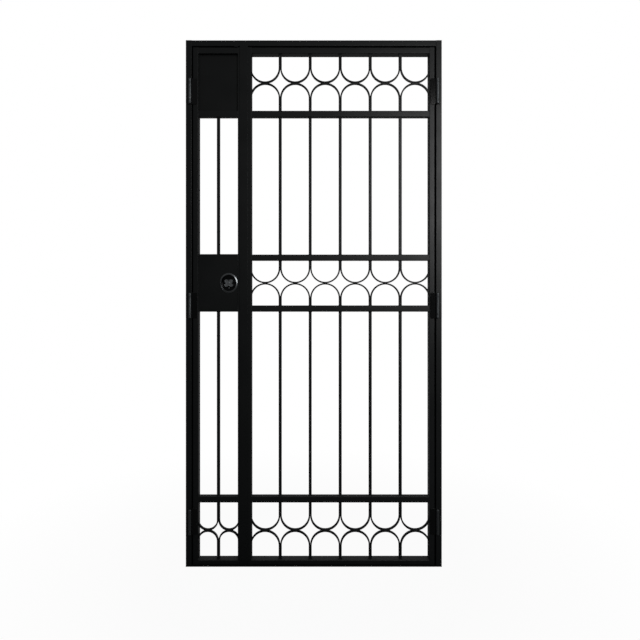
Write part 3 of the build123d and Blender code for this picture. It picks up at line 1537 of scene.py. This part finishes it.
        # The dish is black so that its recess reads dark: painted shade in the recess
        for turned, material in ((self.ring(centre), nickel), (self.well(centre), dish)):
            self.stretch(turned, centre)
            settle(turned, self.ring_smooth)
            dress(turned, material, Body.SMALL.value, Slot.NICKEL.value, "lock_rose")
        lug = self.pointer_lug(centre)
        settle(lug)
        dress(lug, satin, Body.SMALL.value, Slot.NICKEL.value)
        knob = self.knob(centre)
        settle(knob, self.knob_smooth)
        dress(knob, satin, Body.KNOB.value, Slot.NICKEL.value, "lock_knob")


@dataclass
class LockWorks:
    """Case, forend and strike of the lock, which keep their CAD meshes and get their plating."""

    nodes: tuple[str, ...] = ("lock_case", "lock_forend", "strike_plate")

    def build(self, material: Material) -> None:
        """Gives each of them its material.

        Args:
            material: Their material.
        """
        for name in self.nodes:
            kept = frame["nodes"][name]
            kept.data.materials.clear()
            kept.data.materials.append(material)
            log.info("%s: %d faces, kept from the CAD", name, len(kept.data.polygons))


@dataclass
class CoverStrip:
    """Flat bar on the large leaf that laps over the gap between the leaves."""

    width: float = 33 * MM
    thickness: float = 3 * MM
    left: float = -300 * MM
    head_lap: float = 2 * MM
    radius: float = 0.8 * MM

    def build(self, material: Material) -> None:
        """Makes the strip from the bottom of the leaf to just over the head.

        Args:
            material: Its material.
        """
        stile_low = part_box("large_meeting_stile")[0]
        head_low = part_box("head")[0]
        low = Vector((self.left, stile_low.y - self.thickness, stile_low.z))
        high = Vector((self.left + self.width, stile_low.y, head_low.z + self.head_lap))
        strip = block("meeting_cover_strip", low, high)
        round_edges(strip, self.radius, shortest=self.thickness / 2)
        settle(strip)
        dress(strip, material, Body.LARGE.value, Slot.PAINT.value)


@dataclass
class KeeperPlate:
    """Small plate on the head, where the narrow leaf's top bolt goes in."""

    middle: float = -315 * MM
    width: float = 16 * MM
    height: float = 14 * MM
    thickness: float = 1.6 * MM
    below_head: float = 3 * MM
    radius: float = 2.5 * MM

    def build(self, material: Material) -> None:
        """Makes the plate on the head's lower edge.

        Args:
            material: Its material.
        """
        head_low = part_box("head")[0]
        left = self.middle - self.width / 2
        low = Vector((left, head_low.y - self.thickness, head_low.z - self.below_head))
        high = low + Vector((self.width, self.thickness, self.height))
        plate = block("head_keeper_plate", low, high)
        with editing(plate):
            pick_edges(plate, lambda edge: runs_through(edge, self.thickness / 2))
            bpy.ops.mesh.bevel(offset=self.radius, segments=4, profile=0.5)
        settle(plate)
        dress(plate, material, Body.FRAME.value, Slot.PAINT.value)


@dataclass
class Studio:
    """Camera, floor, background and lamp."""

    focal_px: float = 543.0
    picture_px: float = 640.0
    sensor_mm: float = 36.0
    eye: Vector = Vector((9 * MM, -2.225, 1.142))
    principal_right_px: float = -4.0
    principal_up_px: float = 35.0
    glow_from: float = -0.3
    glow_to: float = 0.4
    glow_low: float = 0.006
    glow_high: float = 0.11
    backdrop_from: float = -0.1
    backdrop_to: float = 0.3
    gloss_share: float = 0.08
    floor_size: float = 80.0
    floor_behind: float = 0.5
    floor_colour: str = "#565656"
    white_share: float = 0.96
    shadow_near: float = 0.6
    shadow_far: float = 1.6
    lamp_size: float = 1.5
    lamp_power: float = 27.0
    lamp_place: Vector = Vector((1.6, -3.2, 2.12))
    lamp_target: Vector = Vector((0.4, 0.0, 1.5))

    def camera(self) -> None:
        """Sets up the camera at the height and distance of the photograph's viewpoint."""
        data = bpy.data.cameras.new("camera")
        data.sensor_width = self.sensor_mm
        data.lens = self.focal_px / self.picture_px * self.sensor_mm
        data.shift_x = -self.principal_right_px / self.picture_px
        data.shift_y = -self.principal_up_px / self.picture_px
        camera = bpy.data.objects.new("camera", data)
        camera.location = self.eye
        camera.rotation_euler = (math.radians(90), 0, 0)
        bpy.context.scene.collection.objects.link(camera)
        bpy.context.scene.camera = camera

    def lamp(self) -> None:
        """Adds the soft square lamp, high on the right in front of the door."""
        data = bpy.data.lights.new("high_right_lamp", "AREA")
        data.shape = "SQUARE"
        data.size = self.lamp_size
        data.energy = self.lamp_power
        lamp = bpy.data.objects.new("high_right_lamp", data)
        lamp.location = self.lamp_place
        facing = (self.lamp_target - self.lamp_place).to_track_quat("-Z", "Y")
        lamp.rotation_euler = facing.to_euler()
        bpy.context.scene.collection.objects.link(lamp)

    def world(self) -> None:
        """Makes the surroundings: white where they are seen, and a dim studio in front of the door."""
        world = bpy.data.worlds.new("studio")
        bpy.context.scene.world = world
        world.use_nodes = True
        tree = world.node_tree
        tree.nodes.clear()
        direction = add_node(tree, "ShaderNodeTexCoord", {}, {}).outputs["Generated"]
        parts = add_node(tree, "ShaderNodeSeparateXYZ", {}, {"Vector": direction}).outputs
        rays = add_node(tree, "ShaderNodeLightPath", {}, {}).outputs
        # In front of the door the room is dim, and darker towards the ground
        front = add_node(
            tree,
            "ShaderNodeMapRange",
            {
                "From Min": self.glow_from,
                "From Max": self.glow_to,
                "To Min": self.glow_low,
                "To Max": self.glow_high,
            },
            {"Value": parts["Z"]},
        ).outputs["Result"]
        # Behind it is the backdrop, which reflections see dimmed, so that no edge turns white
        share = add_node(
            tree,
            "ShaderNodeMapRange",
            {"To Min": 1.0, "To Max": self.gloss_share},
            {"Value": rays["Is Glossy Ray"]},
        ).outputs["Result"]
        back = add_node(
            tree,
            "ShaderNodeMapRange",
            {"From Min": self.backdrop_from, "From Max": self.backdrop_to},
            {"Value": parts["Y"], "To Max": share},
        ).outputs["Result"]
        glow = add_node(
            tree, "ShaderNodeMath", {"operation": "MAXIMUM"}, {0: front, 1: back}
        ).outputs["Value"]
        room = add_node(tree, "ShaderNodeBackground", {"Color": WHITE}, {"Strength": glow})
        white = add_node(tree, "ShaderNodeBackground", {"Color": WHITE, "Strength": 1.0}, {})
        seen = add_node(
            tree,
            "ShaderNodeMath",
            {"operation": "MAXIMUM"},
            {0: rays["Is Camera Ray"], 1: rays["Is Transmission Ray"]},
        ).outputs["Value"]
        both = add_node(
            tree,
            "ShaderNodeMixShader",
            {},
            {0: seen, 1: room.outputs["Background"], 2: white.outputs["Background"]},
        )
        add_node(tree, "ShaderNodeOutputWorld", {}, {"Surface": both.outputs["Shader"]})

    def floor(self) -> None:
        """Lays a floor that is white where it is seen, and keeps the door's shadow near it."""
        clear_selection()
        bpy.ops.mesh.primitive_plane_add(size=self.floor_size)
        floor = bpy.context.object
        floor.name = "floor"
        material, tree = blank_material("white_studio_floor")
        place = add_node(tree, "ShaderNodeTexCoord", {}, {}).outputs["Object"]
        away = add_node(tree, "ShaderNodeVectorMath", {"operation": "LENGTH"}, {0: place})
        # The shadow fades out, so that no line shows where the floor meets the background
        keeps = add_node(
            tree,
            "ShaderNodeMapRange",
            {
                "From Min": self.shadow_near,
                "From Max": self.shadow_far,
                "To Min": self.white_share,
                "To Max": 1.0,
            },
            {"Value": away.outputs["Value"]},
        ).outputs["Result"]
        lit = add_node(tree, "ShaderNodeBsdfDiffuse", {"Color": linear(self.floor_colour)}, {})
        white = add_node(tree, "ShaderNodeEmission", {"Color": WHITE, "Strength": 1.0}, {})
        rays = add_node(tree, "ShaderNodeLightPath", {}, {}).outputs
        behind = add_node(tree, "ShaderNodeSeparateXYZ", {}, {"Vector": place}).outputs["Y"]
        # Glossy rays see the white floor, dimmed, where it runs back behind the door
        mirrored = add_node(
            tree,
            "ShaderNodeMapRange",
            {"From Min": 0.0, "From Max": self.floor_behind, "To Max": self.gloss_share},
            {"Value": behind},
        ).outputs["Result"]
        glossy = add_node(
            tree,
            "ShaderNodeMath",
            {"operation": "MULTIPLY"},
            {0: mirrored, 1: rays["Is Glossy Ray"]},
        ).outputs["Value"]
        seen = add_node(
            tree,
            "ShaderNodeMath",
            {"operation": "MAXIMUM"},
            {0: rays["Is Camera Ray"], 1: glossy},
        ).outputs["Value"]
        share = add_node(
            tree, "ShaderNodeMath", {"operation": "MULTIPLY"}, {0: seen, 1: keeps}
        ).outputs["Value"]
        both = add_node(
            tree,
            "ShaderNodeMixShader",
            {},
            {0: share, 1: lit.outputs["BSDF"], 2: white.outputs["Emission"]},
        )
        add_node(tree, "ShaderNodeOutputMaterial", {}, {"Surface": both.outputs["Shader"]})
        floor.data.materials.append(material)

    def build(self) -> None:
        """Sets up everything that isn't part of the door."""
        bpy.context.scene.view_settings.view_transform = "Standard"
        self.camera()
        self.world()
        self.floor()
        self.lamp()


def main() -> None:
    """Builds the studio and every sub-assembly in order."""
    logging.basicConfig(level=logging.INFO, format="%(name)s %(message)s")
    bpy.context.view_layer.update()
    satin = SATIN_ENAMEL.material()
    gloss = GLOSS_ENAMEL.material()
    worn = WORN_STEEL.material()
    weld = WELD_ENAMEL.material()
    nickel = TURNED_NICKEL.material()
    cast = SATIN_NICKEL.material()
    zinc = BRIGHT_ZINC.material()
    LockWorks().build(zinc)
    Studio().build()
    Sections().build(satin)
    for leaf in LEAVES:
        HoopPanel().build(leaf, satin)
    for leaf in LEAVES:
        LeafWelds(HoopPanel()).build(leaf, weld)
    hinges = HingeSets(Hinge(), fixed_flap=satin, moving_flap=gloss, knuckle=worn, weld=weld)
    hinges.build()
    # The lock's dish takes the gloss black enamel as painted shade in its recess
    LockDial().build(nickel, cast, gloss)
    CoverStrip().build(satin)
    KeeperPlate().build(satin)


if __name__ == "__main__":
    main()
